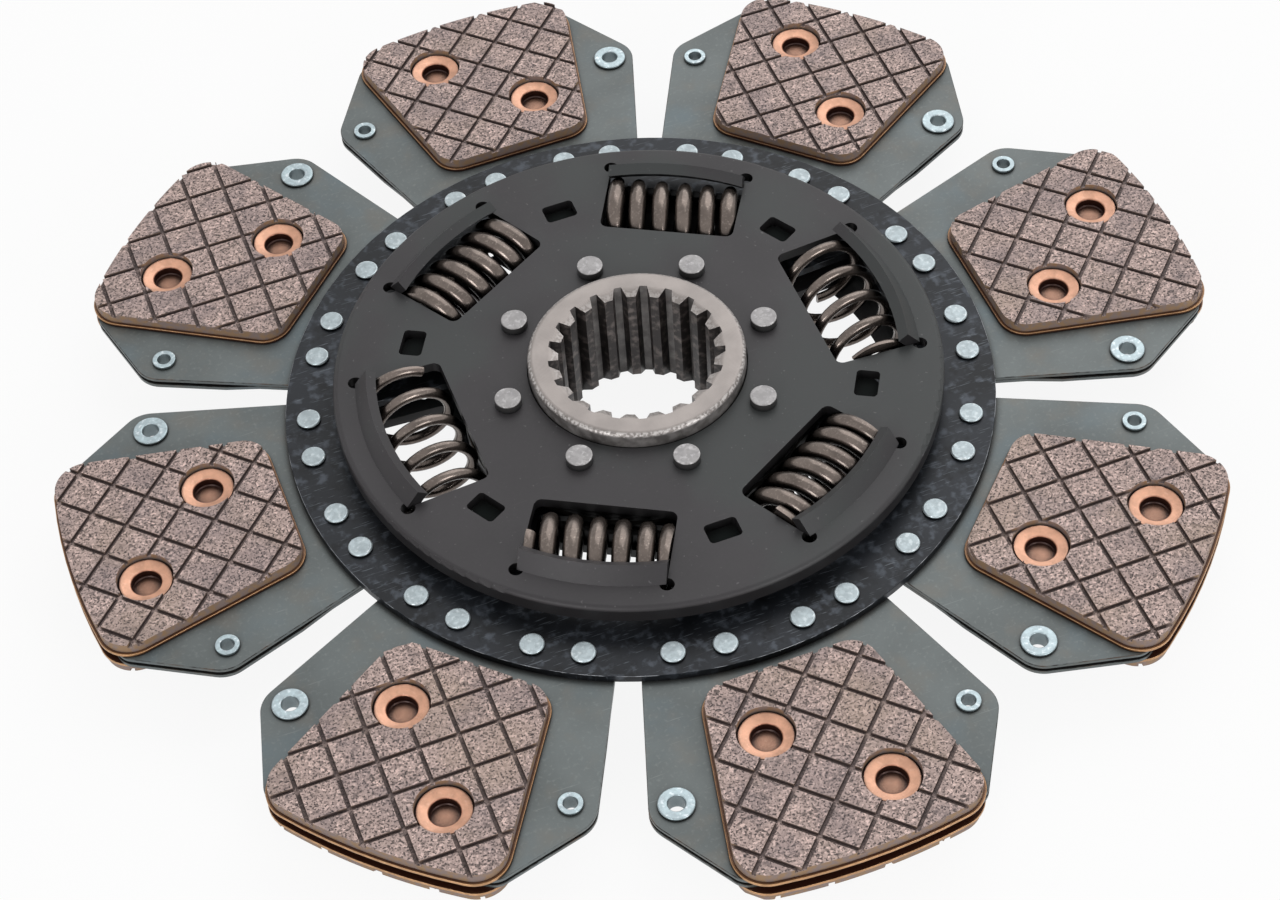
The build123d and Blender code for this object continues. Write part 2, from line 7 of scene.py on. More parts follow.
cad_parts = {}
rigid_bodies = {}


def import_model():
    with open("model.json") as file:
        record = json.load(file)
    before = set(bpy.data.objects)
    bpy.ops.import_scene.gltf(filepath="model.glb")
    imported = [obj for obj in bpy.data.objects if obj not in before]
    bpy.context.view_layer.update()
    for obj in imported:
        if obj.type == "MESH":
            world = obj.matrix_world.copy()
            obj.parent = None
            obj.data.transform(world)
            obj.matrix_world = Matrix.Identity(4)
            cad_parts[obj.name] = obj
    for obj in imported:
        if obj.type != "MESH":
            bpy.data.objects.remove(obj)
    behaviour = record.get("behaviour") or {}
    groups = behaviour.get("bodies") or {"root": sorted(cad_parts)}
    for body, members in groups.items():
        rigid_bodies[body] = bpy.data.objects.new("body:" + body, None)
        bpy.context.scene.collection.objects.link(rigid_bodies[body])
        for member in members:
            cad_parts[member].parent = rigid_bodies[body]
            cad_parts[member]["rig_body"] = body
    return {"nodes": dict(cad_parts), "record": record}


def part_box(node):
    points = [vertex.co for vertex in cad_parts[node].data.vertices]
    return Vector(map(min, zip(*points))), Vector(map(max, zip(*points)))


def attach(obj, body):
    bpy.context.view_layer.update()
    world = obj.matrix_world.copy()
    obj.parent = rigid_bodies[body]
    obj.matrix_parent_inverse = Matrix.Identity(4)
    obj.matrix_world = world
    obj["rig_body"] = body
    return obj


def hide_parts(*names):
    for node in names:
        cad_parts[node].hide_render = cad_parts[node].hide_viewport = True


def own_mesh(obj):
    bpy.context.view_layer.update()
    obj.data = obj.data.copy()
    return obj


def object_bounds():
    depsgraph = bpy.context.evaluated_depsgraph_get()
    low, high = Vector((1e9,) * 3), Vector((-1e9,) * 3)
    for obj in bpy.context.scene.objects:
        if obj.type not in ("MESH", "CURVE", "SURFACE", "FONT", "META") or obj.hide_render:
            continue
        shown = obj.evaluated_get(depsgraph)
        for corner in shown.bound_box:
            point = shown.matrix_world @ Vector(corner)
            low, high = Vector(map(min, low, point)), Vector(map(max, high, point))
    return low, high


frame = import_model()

cad_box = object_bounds()

bl_info = {
    "name": "Clutch Disc",
    "version": (1, 0, 0),
    "blender": (4, 5, 0),
    "location": "3D View > Sidebar > Clutch Disc",
    "description": "Gives a sprung clutch disc its edges, coil springs, rivets and finishes",
    "category": "Add Mesh",
}

MM = 0.001
MERGE_DISTANCE = 2e-6
FLAT_ANGLE = radians(0.3)
SHARP_ANGLE = radians(32)
SMOOTH_ANGLE = radians(40)
SPRING_CIRCLE = 67.0 * MM
SPLINE_RADIUS = 26.1 * MM
TURNING_FEED = 0.35
POLISH_SPREAD = 0.12
SCRATCH_EDGE = 0.06
slot_of_node = {part["node"]: part["material_slot"] for part in frame["record"]["subparts"]}


def linear(hex_colour):
    """A colour written as sRGB hex, as the linear values that Blender's nodes take."""
    channels = [int(hex_colour[at:at + 2], 16) / 255 for at in (1, 3, 5)]
    return [c / 12.92 if c <= 0.04045 else ((c + 0.055) / 1.055) ** 2.4 for c in channels]


def per_metre(millimetres):
    """The scale of a pattern whose grain is this wide."""
    return 1 / (millimetres * MM)


# Sizes and colours that a user may change
def length_property(name, description, millimetres):
    """A length in metres, written in millimetres."""
    return bpy.props.FloatProperty(
        name=name, description=description, default=millimetres * MM, min=0.0, precision=5, unit="LENGTH"
    )


def colour_property(name, description, hex_colour):
    """A colour, written as sRGB hex."""
    return bpy.props.FloatVectorProperty(
        name=name,
        description=description,
        default=linear(hex_colour),
        size=3,
        min=0.0,
        max=1.0,
        subtype="COLOR",
    )


def turns_property(name, description, turns, fewest):
    """A number of turns of a coil spring."""
    return bpy.props.FloatProperty(name=name, description=description, default=turns, min=fewest)


class ClutchDiscSizes(bpy.types.PropertyGroup):
    """Edge widths and the sizes of the modelled pieces."""

    plate_edge: length_property("Side plate edge", "Rounding of the punched edges of the side plates", 0.35)
    disc_edge: length_property("Drive disc edge", "Rounding of the drive disc's edges", 0.28)
    hub_edge: length_property("Hub edge", "Rounding of the hub's machined edges", 0.3)
    segment_edge: length_property("Segment edge", "Rounding of the paddle segments' sheared edges", 0.2)
    backing_edge: length_property("Backing edge", "Rounding of the backing plates' edges", 0.2)
    pad_edge: length_property("Pad edge", "Rounding of the friction pads' edges", 0.22)
    hub_rivet_edge: length_property("Hub rivet edge", "Rounding of the hub rivets' heads", 0.35)
    ring_rivet_edge: length_property("Ring rivet edge", "Bevel of the ring rivets' flat heads", 0.5)
    eyelet_edge: length_property("Eyelet edge", "Rounding of the eyelets' flanges and mouths", 0.4)
    ring_edge: length_property("Inner ring edge", "Rounding of the rings inside the damper", 0.15)
    stiff_wire: length_property("Stiff wire", "Wire thickness of the four stiff springs", 5.3)
    soft_wire: length_property("Soft wire", "Wire thickness of the two soft springs", 3.3)
    stiff_turns: turns_property("Stiff turns", "Turns of a stiff spring, with its closed ends", 6.0, 3.0)
    stiff_closed: turns_property("Stiff closed turns", "Closed turns per end of a stiff spring", 0.75, 0.0)
    soft_turns: turns_property("Soft turns", "Turns of a soft spring, with its closed ends", 4.6, 3.0)
    soft_closed: turns_property("Soft closed turns", "Closed turns per end of a soft spring", 0.25, 0.0)
    rivet_rim: length_property("Pad rivet rim", "Radius of a pad rivet's flared rim", 7.7)
    rivet_neck: length_property("Pad rivet neck", "Outer radius of a pad rivet's barrel", 5.0)
    rivet_bore: length_property("Pad rivet bore", "Radius of a pad rivet's bore", 4.35)
    rivet_throat: length_property("Pad rivet throat", "Rounding from a pad rivet's cone to its bore", 0.65)
    rivet_head: length_property("Pad rivet head", "Radius of a pad rivet's head behind the segment", 6.4)
    rivet_head_height: length_property("Pad rivet head height", "Thickness of a pad rivet's flat head", 0.9)


class ClutchDiscColours(bpy.types.PropertyGroup):
    """Main colour of each finish."""

    plate: colour_property("Side plate", "Phosphated and oiled steel", "#393739")
    disc: colour_property("Drive disc", "Blue-black hardened steel", "#212429")
    hub: colour_property("Hub", "Machined steel faces", "#8f8783")
    # The spline flanks' dark colour is partly oil and partly painted shade inside the bore.
    flank: colour_property("Spline flank", "Broached flanks, oiled dark", "#342f2e")
    hub_rivet: colour_property("Hub rivets", "Pressed steel, oiled", "#8c8a8a")
    rivet: colour_property("Ring rivets", "Zinc-plated steel", "#a0abaf")
    eyelet: colour_property("Eyelets", "Bright zinc-plated steel", "#aababf")
    segment: colour_property("Segments", "Heat-tinted spring steel", "#606666")
    pad: colour_property("Friction pads", "Sintered bronze and ceramic lining", "#b6a099")
    backing: colour_property("Backing plates", "Copper-plated steel", "#c29468")
    copper: colour_property("Pad rivets", "Copper-plated steel", "#cb8f74")
    spring: colour_property("Springs", "Oil-tempered wire", "#6f655f")
    nylon: colour_property("Bearing ring", "Glass-filled nylon", "#2c2a28")
    fibre: colour_property("Friction washers", "Pressed fibre", "#54483c")
    ring: colour_property("Inner rings", "Bare rolled steel", "#6e6d6e")
    support: colour_property("Support plate", "Blackened steel behind the square slots", "#141b1a")


# Materials
MIX_SHARE, MIX_UNDER, MIX_OVER, MIX_RESULT = 0, 6, 7, 2


def add_node(tree, kind, values=None, stops=(), output=0, **settings):
    """Add a node with its settings, its sockets' values or links and a ramp's stops, and give one output."""
    made = tree.nodes.new("ShaderNode" + kind)
    for name, value in settings.items():
        setattr(made, name, value)
    for name, value in (values or {}).items():
        socket = made.inputs[name]
        if isinstance(value, bpy.types.NodeSocket):
            tree.links.new(value, socket)
        else:
            socket.default_value = (*value[:3], 1) if socket.type == "RGBA" else value
    if stops:
        elements = made.color_ramp.elements
        while len(elements) < len(stops):
            elements.new(1.0)
        for element, (position, colour) in zip(elements, stops):
            element.position = position
            element.color = (*colour, 1)
    return made.outputs[output] if made.outputs else made


def start_material(name):
    """An empty material, with the object's own coordinates for its patterns."""
    material = bpy.data.materials.new(name)
    material.use_nodes = True
    tree = material.node_tree
    tree.nodes.clear()
    place = add_node(tree, "TexCoord", output="Object")
    return material, tree, place


def patched(tree, place, under, over, millimetres, low, high, most=1.0, detail=4.0):
    """One colour with cloudy patches of another, about this wide, where a cloud passes from low to high."""
    cloud = add_node(tree, "TexNoise", {"Vector": place, "Scale": per_metre(millimetres), "Detail": detail})
    values = {"Value": cloud, "From Min": low, "From Max": high, "To Max": most}
    share = add_node(tree, "MapRange", values, interpolation_type="SMOOTHSTEP")
    values = {MIX_SHARE: share, MIX_UNDER: under, MIX_OVER: over}
    return add_node(tree, "Mix", values, output=MIX_RESULT, data_type="RGBA")


def scratched(tree, place, colour, bright, turn, along, across, threshold, most):
    """A colour with fine bright lines scattered over it, as handling leaves them."""
    scale = (per_metre(along), per_metre(across), per_metre(along))
    streaks = add_node(tree, "Mapping", {"Vector": place, "Rotation": (0, 0, radians(turn)), "Scale": scale})
    lines = add_node(tree, "TexNoise", {"Vector": streaks, "Scale": 1.0, "Detail": 2.0})
    values = {"Value": lines, "From Min": threshold, "From Max": threshold + SCRATCH_EDGE, "To Max": most}
    share = add_node(tree, "MapRange", values, interpolation_type="SMOOTHSTEP")
    values = {MIX_SHARE: share, MIX_UNDER: colour, MIX_OVER: bright}
    return add_node(tree, "Mix", values, output=MIX_RESULT, data_type="RGBA")


def walled(tree, face, wall, low, high):
    """One colour on faces that look along the disc's axis, passing to another on its walls."""
    normal = add_node(tree, "NewGeometry", output="Normal")
    along_axis = add_node(tree, "SeparateXYZ", {0: normal}, output="Z")
    upright = add_node(tree, "Math", {0: along_axis}, operation="ABSOLUTE")
    values = {"Value": upright, "From Min": 1 - low, "From Max": 1 - high}
    share = add_node(tree, "MapRange", values, interpolation_type="SMOOTHSTEP")
    values = {MIX_SHARE: share, MIX_UNDER: face, MIX_OVER: wall}
    return add_node(tree, "Mix", values, output=MIX_RESULT, data_type="RGBA")


def painted_gap_shade(tree, colour, dark, millimetres, low, high):
    """Painted shade: a colour in the open, passing to a dark one in corners and gaps of about this width,
    where less light reaches.
    """
    values = {"Distance": millimetres * MM}
    openness = add_node(tree, "AmbientOcclusion", values, output="AO", samples=8)
    values = {"Value": openness, "From Min": low, "From Max": high}
    share = add_node(tree, "MapRange", values, interpolation_type="SMOOTHSTEP")
    values = {MIX_SHARE: share, MIX_UNDER: dark, MIX_OVER: colour}
    return add_node(tree, "Mix", values, output=MIX_RESULT, data_type="RGBA")


def finish_material(tree, place, colour, roughness, metallic, grain, depth, **sockets):
    """The shader that each material ends with, with a bump of this grain and depth in millimetres."""
    height = add_node(tree, "TexNoise", {"Vector": place, "Scale": per_metre(grain), "Detail": 4.0})
    bump = add_node(tree, "Bump", {"Height": height, "Distance": depth * MM})
    spread = roughness * POLISH_SPREAD
    values = {"Value": height, "To Min": roughness - spread, "To Max": roughness + spread}
    polish = add_node(tree, "MapRange", values)
    values = {"Base Color": colour, "Roughness": polish, "Metallic": metallic, "Normal": bump}
    values.update({name.replace("_", " "): value for name, value in sockets.items()})
    shader = add_node(tree, "BsdfPrincipled", values)
    add_node(tree, "OutputMaterial", {"Surface": shader})


def shade(colour, factor):
    """A colour made darker or lighter."""
    return [min(1.0, channel * factor) for channel in colour]


def phosphated_steel(colours):
    """Phosphated, oiled side plate: smooth grey with soft clouds and a few pale specks, with painted shade
    on its walls and painted black shade in the gaps.
    """
    material, tree, place = start_material("phosphated_side_plate_steel")
    plate = colours.plate
    colour = patched(tree, place, shade(plate, 0.9), shade(plate, 1.1), 32, 0.3, 0.7)
    colour = patched(tree, place, colour, linear("#3b403f"), 60, 0.48, 0.62, 0.6)
    colour = patched(tree, place, colour, shade(plate, 1.5), 0.7, 0.45, 0.75, 0.12)
    colour = patched(tree, place, colour, linear("#757374"), 1.3, 0.72, 0.78, 0.35, 1.0)
    colour = scratched(tree, place, colour, linear("#6a6869"), 25, 9, 0.6, 0.72, 0.15)
    # Painted shade: walls take a darker copy of the plate's tone.
    colour = walled(tree, colour, shade(plate, 0.4), 0.6, 0.97)
    # Painted shade: black in corners and gaps, where less light reaches.
    colour = painted_gap_shade(tree, colour, linear("#040404"), 9, 0.12, 0.62)
    finish_material(tree, place, colour, 0.46, 0.1, 0.9, 0.006, Specular_IOR_Level=0.3)
    return material


def worn_and_highlit_plate_edge(colours):
    """Punched edges of the side plates, lighter where handling has rubbed the coating thin and as a painted
    highlight along the rims.
    """
    material, tree, place = start_material("rubbed_and_highlit_side_plate_edge")
    # Wear and painted highlight: pale patches along the rounded edges.
    colour = patched(tree, place, shade(colours.plate, 0.9), linear("#8b8a8b"), 9, 0.4, 0.62)
    # Painted shade: dark in corners and gaps.
    colour = painted_gap_shade(tree, colour, linear("#040404"), 8, 0.05, 0.35)
    finish_material(tree, place, colour, 0.4, 0.5, 0.6, 0.015)
    return material


def hardened_steel(colours):
    """Hardened drive disc: blue-black scale with rubbed areas and pale smudges, darkened at the rivets and
    in the gaps as painted shade.
    """
    material, tree, place = start_material("blue_black_hardened_steel")
    disc = colours.disc
    colour = patched(tree, place, shade(disc, 0.45), shade(disc, 1.1), 30, 0.34, 0.64, detail=6.0)
    colour = patched(tree, place, colour, linear("#585e67"), 3.2, 0.5, 0.72, 0.55, 6.0)
    colour = patched(tree, place, colour, linear("#0d0e11"), 5, 0.56, 0.7, 0.7, 6.0)
    colour = scratched(tree, place, colour, linear("#7f868e"), 70, 7, 0.45, 0.64, 0.3)
    colour = scratched(tree, place, colour, linear("#7f868e"), -20, 6, 0.4, 0.67, 0.25)
    # Painted shade: black near the rivets and in corners and gaps.
    colour = painted_gap_shade(tree, colour, linear("#030304"), 7, 0.22, 0.85)
    finish_material(tree, place, colour, 0.38, 0.3, 1.6, 0.012, Specular_IOR_Level=0.3)
    return material


def rubbed_disc_edge(colours):
    """The drive disc's edge, rubbed bright in an uneven thin line, with painted shade in the gaps."""
    material, tree, place = start_material("rubbed_drive_disc_edge")
    colour = patched(tree, place, shade(colours.disc, 0.9), linear("#9da0a5"), 6, 0.42, 0.62)
    # Painted shade: dark in corners and gaps.
    colour = painted_gap_shade(tree, colour, linear("#030304"), 12, 0.3, 0.8)
    finish_material(tree, place, colour, 0.32, 0.8, 0.6, 0.01)
    return material


def hub_steel(colours):
    """Hub: fine-turned warm grey face, a rough paler rounding, a grey barrel and dark flanks, partly oil and
    partly painted shade inside the bore, with painted shade in the gaps.
    """
    material, tree, place = start_material("machined_hub_steel")
    level = add_node(tree, "VectorMath", {0: place, 1: (1, 1, 0)}, operation="MULTIPLY")
    radius = add_node(tree, "VectorMath", {0: level}, operation="LENGTH", output="Value")
    turns = add_node(tree, "Math", {0: radius, 1: 2 * pi * per_metre(TURNING_FEED)}, operation="MULTIPLY")
    ridge = add_node(tree, "Math", {0: turns}, operation="SINE")
    feed = add_node(tree, "MapRange", {"Value": ridge, "From Min": -1.0, "To Max": 0.14})
    face = patched(tree, place, shade(colours.hub, 0.86), shade(colours.hub, 1.1), 9, 0.3, 0.7)
    values = {MIX_SHARE: feed, MIX_UNDER: face, MIX_OVER: linear("#dedad7")}
    face = add_node(tree, "Mix", values, output=MIX_RESULT, data_type="RGBA")
    rough = patched(tree, place, linear("#837d7a"), linear("#c2bdba"), 0.9, 0.42, 0.58)
    colour = walled(tree, face, rough, 0.03, 0.2)
    barrel = patched(tree, place, linear("#6a6664"), linear("#94908e"), 4, 0.35, 0.65, detail=6.0)
    colour = walled(tree, colour, barrel, 0.5, 0.9)
    # Partly oil, partly painted shade: the flanks inside the bore are dark.
    flank = patched(tree, place, colours.flank, linear("#756c68"), 2.4, 0.45, 0.72)
    broached = walled(tree, colour, flank, 0.55, 0.85)
    blend = 0.1 * MM
    values = {"Value": radius, "From Min": SPLINE_RADIUS + blend, "From Max": SPLINE_RADIUS - 2 * blend}
    inside = add_node(tree, "MapRange", values)
    values = {MIX_SHARE: inside, MIX_UNDER: colour, MIX_OVER: broached}
    colour = add_node(tree, "Mix", values, output=MIX_RESULT, data_type="RGBA")
    # Painted shade: dark in corners and gaps, such as the ring at the plate.
    colour = painted_gap_shade(tree, colour, linear("#0b0909"), 5, 0.15, 0.7)
    finish_material(tree, place, colour, 0.4, 0.45, 0.8, 0.02)
    return material


def zinc(name, tone, bright, dark, side):
    """Zinc plating: fine bluish spangle with dull spots where it was pressed; walls take the tone times the
    side factor as painted light, and corners and holes take painted shade.
    """
    material, tree, place = start_material(name)
    spangle = add_node(tree, "TexVoronoi", {"Vector": place, "Scale": per_metre(0.9)}, output="Color")
    cell = add_node(tree, "SeparateColor", {0: spangle})
    colour = add_node(tree, "ValToRGB", {0: cell}, stops=[(0.0, shade(tone, 0.86)), (1.0, shade(tone, 1.1))])
    colour = patched(tree, place, colour, linear(dark), 3, 0.4, 0.66, 0.45)
    colour = patched(tree, place, colour, linear(bright), 1.4, 0.54, 0.7, 0.6)
    # Painted light on walls: the tone times the side factor, darker below 1 as painted shade, lighter above
    # 1 as painted highlight.
    colour = walled(tree, colour, shade(tone, side), 0.35, 0.85)
    # Painted shade: dark in corners, holes and gaps.
    colour = painted_gap_shade(tree, colour, linear("#161a1c"), 3.5, 0.3, 0.88)
    finish_material(tree, place, colour, 0.34, 0.55, 0.6, 0.015)
    return material


def spring_steel(colours):
    """Segments: heat-tinted spring steel, greenish blue-grey with straw-brown patches and rubbed spots, and
    painted shade in the gaps.
    """
    material, tree, place = start_material("heat_tinted_spring_steel")
    tone = colours.segment
    colour = patched(tree, place, shade(tone, 0.84), shade(tone, 1.1), 26, 0.3, 0.7)
    colour = patched(tree, place, colour, linear("#6c675f"), 12, 0.5, 0.72, 0.45)
    colour = patched(tree, place, colour, linear("#5c6d75"), 34, 0.52, 0.7, 0.5)
    colour = patched(tree, place, colour, linear("#8b9190"), 1.2, 0.52, 0.78, 0.28)
    colour = scratched(tree, place, colour, linear("#9aa09f"), 40, 14, 0.5, 0.68, 0.22)
    # Painted shade: dark in corners and gaps.
    colour = painted_gap_shade(tree, colour, linear("#1a1816"), 3, 0.4, 0.92)
    finish_material(tree, place, colour, 0.42, 0.35, 1.2, 0.012)
    return material


def sheared_edge(colours):
    """Sheared edges of the segments: ragged, dark and brown in places."""
    material, tree, place = start_material("sheared_segment_edge")
    bare = shade(colours.segment, 0.8)
    colour = patched(tree, place, linear("#211f1e"), bare, 2.2, 0.42, 0.62, detail=6.0)
    colour = patched(tree, place, colour, linear("#5f4735"), 6, 0.5, 0.7, 0.6)
    finish_material(tree, place, colour, 0.5, 0.35, 0.5, 0.03)
    return material


def sintered_lining(colours):
    """Sintered bronze and ceramic: pinkish-brown grains, black graphite specks and browner walls, with
    painted shade in recesses and gaps.
    """
    material, tree, place = start_material("sintered_friction_lining")
    pad = colours.pad
    grains = add_node(tree, "TexVoronoi", {"Vector": place, "Scale": per_metre(0.65)}, output="Color")
    tone = add_node(tree, "SeparateColor", {0: grains})
    stops = [
        (0.0, shade(pad, 0.2)),
        (0.16, shade(pad, 0.5)),
        (0.34, shade(pad, 0.92)),
        (0.8, shade(pad, 1.2)),
        (1.0, shade(pad, 1.9)),
    ]
    colour = add_node(tree, "ValToRGB", {0: tone}, stops=stops)
    colour = patched(tree, place, colour, shade(pad, 0.74), 0.35, 0.4, 0.66, 0.4, 3.0)
    colour = patched(tree, place, colour, linear("#7f7274"), 14, 0.45, 0.65, 0.4)
    colour = patched(tree, place, colour, linear("#b09a88"), 34, 0.5, 0.7, 0.4)
    colour = patched(tree, place, colour, linear("#2a2224"), 0.62, 0.55, 0.63, 0.92, 2.0)
    stained = patched(tree, place, shade(pad, 0.5), linear("#92765a"), 2.2, 0.38, 0.62)
    colour = walled(tree, colour, stained, 0.45, 0.9)
    # Painted shade: darker in recesses and gaps.
    colour = painted_gap_shade(tree, colour, linear("#4e4241"), 2.6, 0.25, 0.92)
    finish_material(tree, place, colour, 0.66, 0.1, 0.9, 0.06)
    return material


def chipped_lining_edge(colours):
    """Edges of the lining: chipped grains, a little paler and yellower than the ground face, with painted
    shade in the gaps.
    """
    material, tree, place = start_material("chipped_lining_edge")
    colour = patched(tree, place, shade(colours.pad, 0.55), linear("#b89c85"), 1.2, 0.42, 0.6)
    # Painted shade: darker in corners and gaps.
    colour = painted_gap_shade(tree, colour, linear("#4e4241"), 2.6, 0.2, 0.8)
    finish_material(tree, place, colour, 0.6, 0.1, 0.9, 0.06)
    return material


def copper_plate(name, face, slope, dark, light):
    """Copper plating over steel: salmon metal, a little yellower on flat faces and lighter there as painted
    light, with paler spots and painted dark shade in holes and gaps.
    """
    material, tree, place = start_material(name)
    flat = patched(tree, place, shade(face, 0.85), shade(face, 1.1), 3, 0.3, 0.7)
    sloping = patched(tree, place, shade(slope, 0.8), shade(slope, 1.12), 2.4, 0.3, 0.7)
    # Painted light: flat faces take a lighter colour than slopes.
    colour = walled(tree, flat, sloping, 0.03, 0.3)
    colour = patched(tree, place, colour, linear(light), 1.1, 0.56, 0.74, 0.5)
    # Painted shade: dark brown in holes, recesses and gaps.
    colour = painted_gap_shade(tree, colour, linear(dark), 9, 0.54, 0.86)
    finish_material(tree, place, colour, 0.36, 0.4, 0.6, 0.015)
    return material


def tempered_wire(colours):
    """Oil-tempered spring wire: smooth bronze-brown oxide, rubbed brighter in places, with painted black
    shade in the gaps.
    """
    material, tree, place = start_material("oil_tempered_wire")
    tone = colours.spring
    colour = patched(tree, place, shade(tone, 0.75), shade(tone, 1.15), 7, 0.3, 0.7)
    colour = patched(tree, place, colour, linear("#b3a79e"), 0.7, 0.54, 0.72, 0.3, 3.0)
    # Painted shade: black between the coils and in the gaps.
    colour = painted_gap_shade(tree, colour, linear("#040303"), 12, 0.3, 0.74)
    finish_material(tree, place, colour, 0.21, 0.8, 0.7, 0.006)
    return material


def plain_finish(name, tone, metallic, roughness, grain):
    """A quiet finish for the rings inside the damper, with the grain of moulding, pressing or rolling, and
    painted shade in corners and gaps.
    """
    material, tree, place = start_material(name)
    colour = patched(tree, place, shade(tone, 0.75), shade(tone, 1.15), grain, 0.3, 0.7)
    # Painted shade: nearly black in corners and gaps.
    colour = painted_gap_shade(tree, colour, shade(tone, 0.05), 12, 0.3, 0.85)
    finish_material(tree, place, colour, roughness, metallic, grain, 0.02, Specular_IOR_Level=0.2)
    return material


# Modelling
def select_only(*pieces):
    """Select these objects alone, the first of them active."""
    bpy.ops.object.select_all(action="DESELECT")
    for piece in pieces:
        piece.select_set(True)
    bpy.context.view_layer.objects.active = pieces[0]


def merged_copy(node, name):
    """A copy of a CAD node's mesh, with its loose triangles merged and its flat areas joined."""
    source = frame["nodes"][node]
    made = bpy.data.objects.new(name, source.data.copy())
    made.data.materials.clear()
    bpy.context.scene.collection.objects.link(made)
    select_only(made)
    bpy.ops.mesh.customdata_custom_splitnormals_clear()
    bpy.ops.object.mode_set(mode="EDIT")
    bpy.ops.mesh.select_all(action="SELECT")
    bpy.ops.mesh.remove_doubles(threshold=MERGE_DISTANCE)
    bpy.ops.mesh.dissolve_limited(angle_limit=FLAT_ANGLE)
    bpy.ops.object.mode_set(mode="OBJECT")
    return made


def round_edges(piece, width, rounds=2):
    """Round the piece's sharp edges and give the rounding its second material, then even its shading."""
    select_only(piece)
    bpy.ops.object.modifier_add(type="BEVEL")
    bevel = piece.modifiers[-1]
    bevel.width = width
    bevel.segments = rounds
    bevel.limit_method = "ANGLE"
    bevel.angle_limit = SHARP_ANGLE
    bevel.material = len(piece.data.materials) - 1
    bpy.ops.object.modifier_apply(modifier=bevel.name)
    bpy.ops.object.shade_smooth_by_angle(angle=SHARP_ANGLE)
    bpy.ops.object.modifier_add(type="WEIGHTED_NORMAL")
    bpy.ops.object.modifier_apply(modifier=piece.modifiers[-1].name)


def settle(piece, node):
    """Let the piece stand for its CAD node: it rides on its body, and the node is hidden."""
    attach(piece, frame["nodes"][node]["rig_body"])
    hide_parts(node)


def dress(node, width, materials, rounds=2):
    """A finished copy of one CAD node, with rounded edges and its materials."""
    piece = merged_copy(node, node + "_finished")
    for material in materials:
        piece.data.materials.append(material)
    round_edges(piece, width, rounds)
    settle(piece, node)
    return piece


def numbered(prefix):
    """The CAD nodes named with a prefix and a number, in order."""
    found = [name for name in frame["nodes"] if name.startswith(prefix) and name[len(prefix):].isdigit()]
    return sorted(found, key=lambda name: int(name[len(prefix):]))


def solid_middles(node):
    """The middle of each solid of a CAD node, in order round the axis."""
    select_only(merged_copy(node, node + "_measured"))
    bpy.ops.object.mode_set(mode="EDIT")
    bpy.ops.mesh.separate(type="LOOSE")
    bpy.ops.object.mode_set(mode="OBJECT")
    middles = []
    for part in list(bpy.context.selected_objects):
        corners = [Vector(corner) for corner in part.bound_box]
        middles.append(sum(corners, Vector()) / len(corners))
        bpy.data.objects.remove(part)
    return sorted(middles, key=lambda middle: (round(atan2(middle.y, middle.x), 4), middle.length))


def turned_piece(name, profile, sides):
    """A turned solid about Z, extruded ring by ring up its profile of radius and height."""
    radius, height = profile[0]
    bpy.ops.object.select_all(action="DESELECT")
    bpy.ops.mesh.primitive_circle_add(
        vertices=sides, radius=radius, fill_type="NGON", location=(0, 0, height)
    )
    piece = bpy.context.active_object
    piece.name = name
    bpy.ops.object.transform_apply(location=True, rotation=True, scale=True)
    bpy.ops.object.mode_set(mode="EDIT")
    bpy.ops.mesh.select_all(action="SELECT")
    for next_radius, next_height in profile[1:]:
        bpy.ops.mesh.extrude_region_move(TRANSFORM_OT_translate={"value": (0, 0, next_height - height)})
        share = next_radius / radius
        bpy.ops.transform.resize(value=(share, share, 1), center_override=(0, 0, next_height))
        radius, height = next_radius, next_height
    bpy.ops.mesh.select_all(action="SELECT")
    bpy.ops.mesh.normals_make_consistent(inside=False)
    bpy.ops.object.mode_set(mode="OBJECT")
    bpy.ops.object.shade_smooth_by_angle(angle=SMOOTH_ANGLE)
    return piece


def joined_copies(first, places):
    """One object of copies of a piece, each with its own mesh, at these places."""
    copies = []
    for place in places:
        copy = first.copy()
        copy.data = first.data.copy()
        copy.data.transform(place)
        bpy.context.scene.collection.objects.link(copy)
        copies.append(copy)
    name = first.name
    bpy.data.objects.remove(first)
    select_only(*copies)
    bpy.ops.object.join()
    copies[0].name = name
    return copies[0]


class PieceOperator(bpy.types.Operator):
    """What every operator here shares."""

    bl_options = {"REGISTER", "UNDO"}

    @staticmethod
    def settings(context):
        """The scene's sizes and colours."""
        return context.scene.clutch_disc_sizes, context.scene.clutch_disc_colours


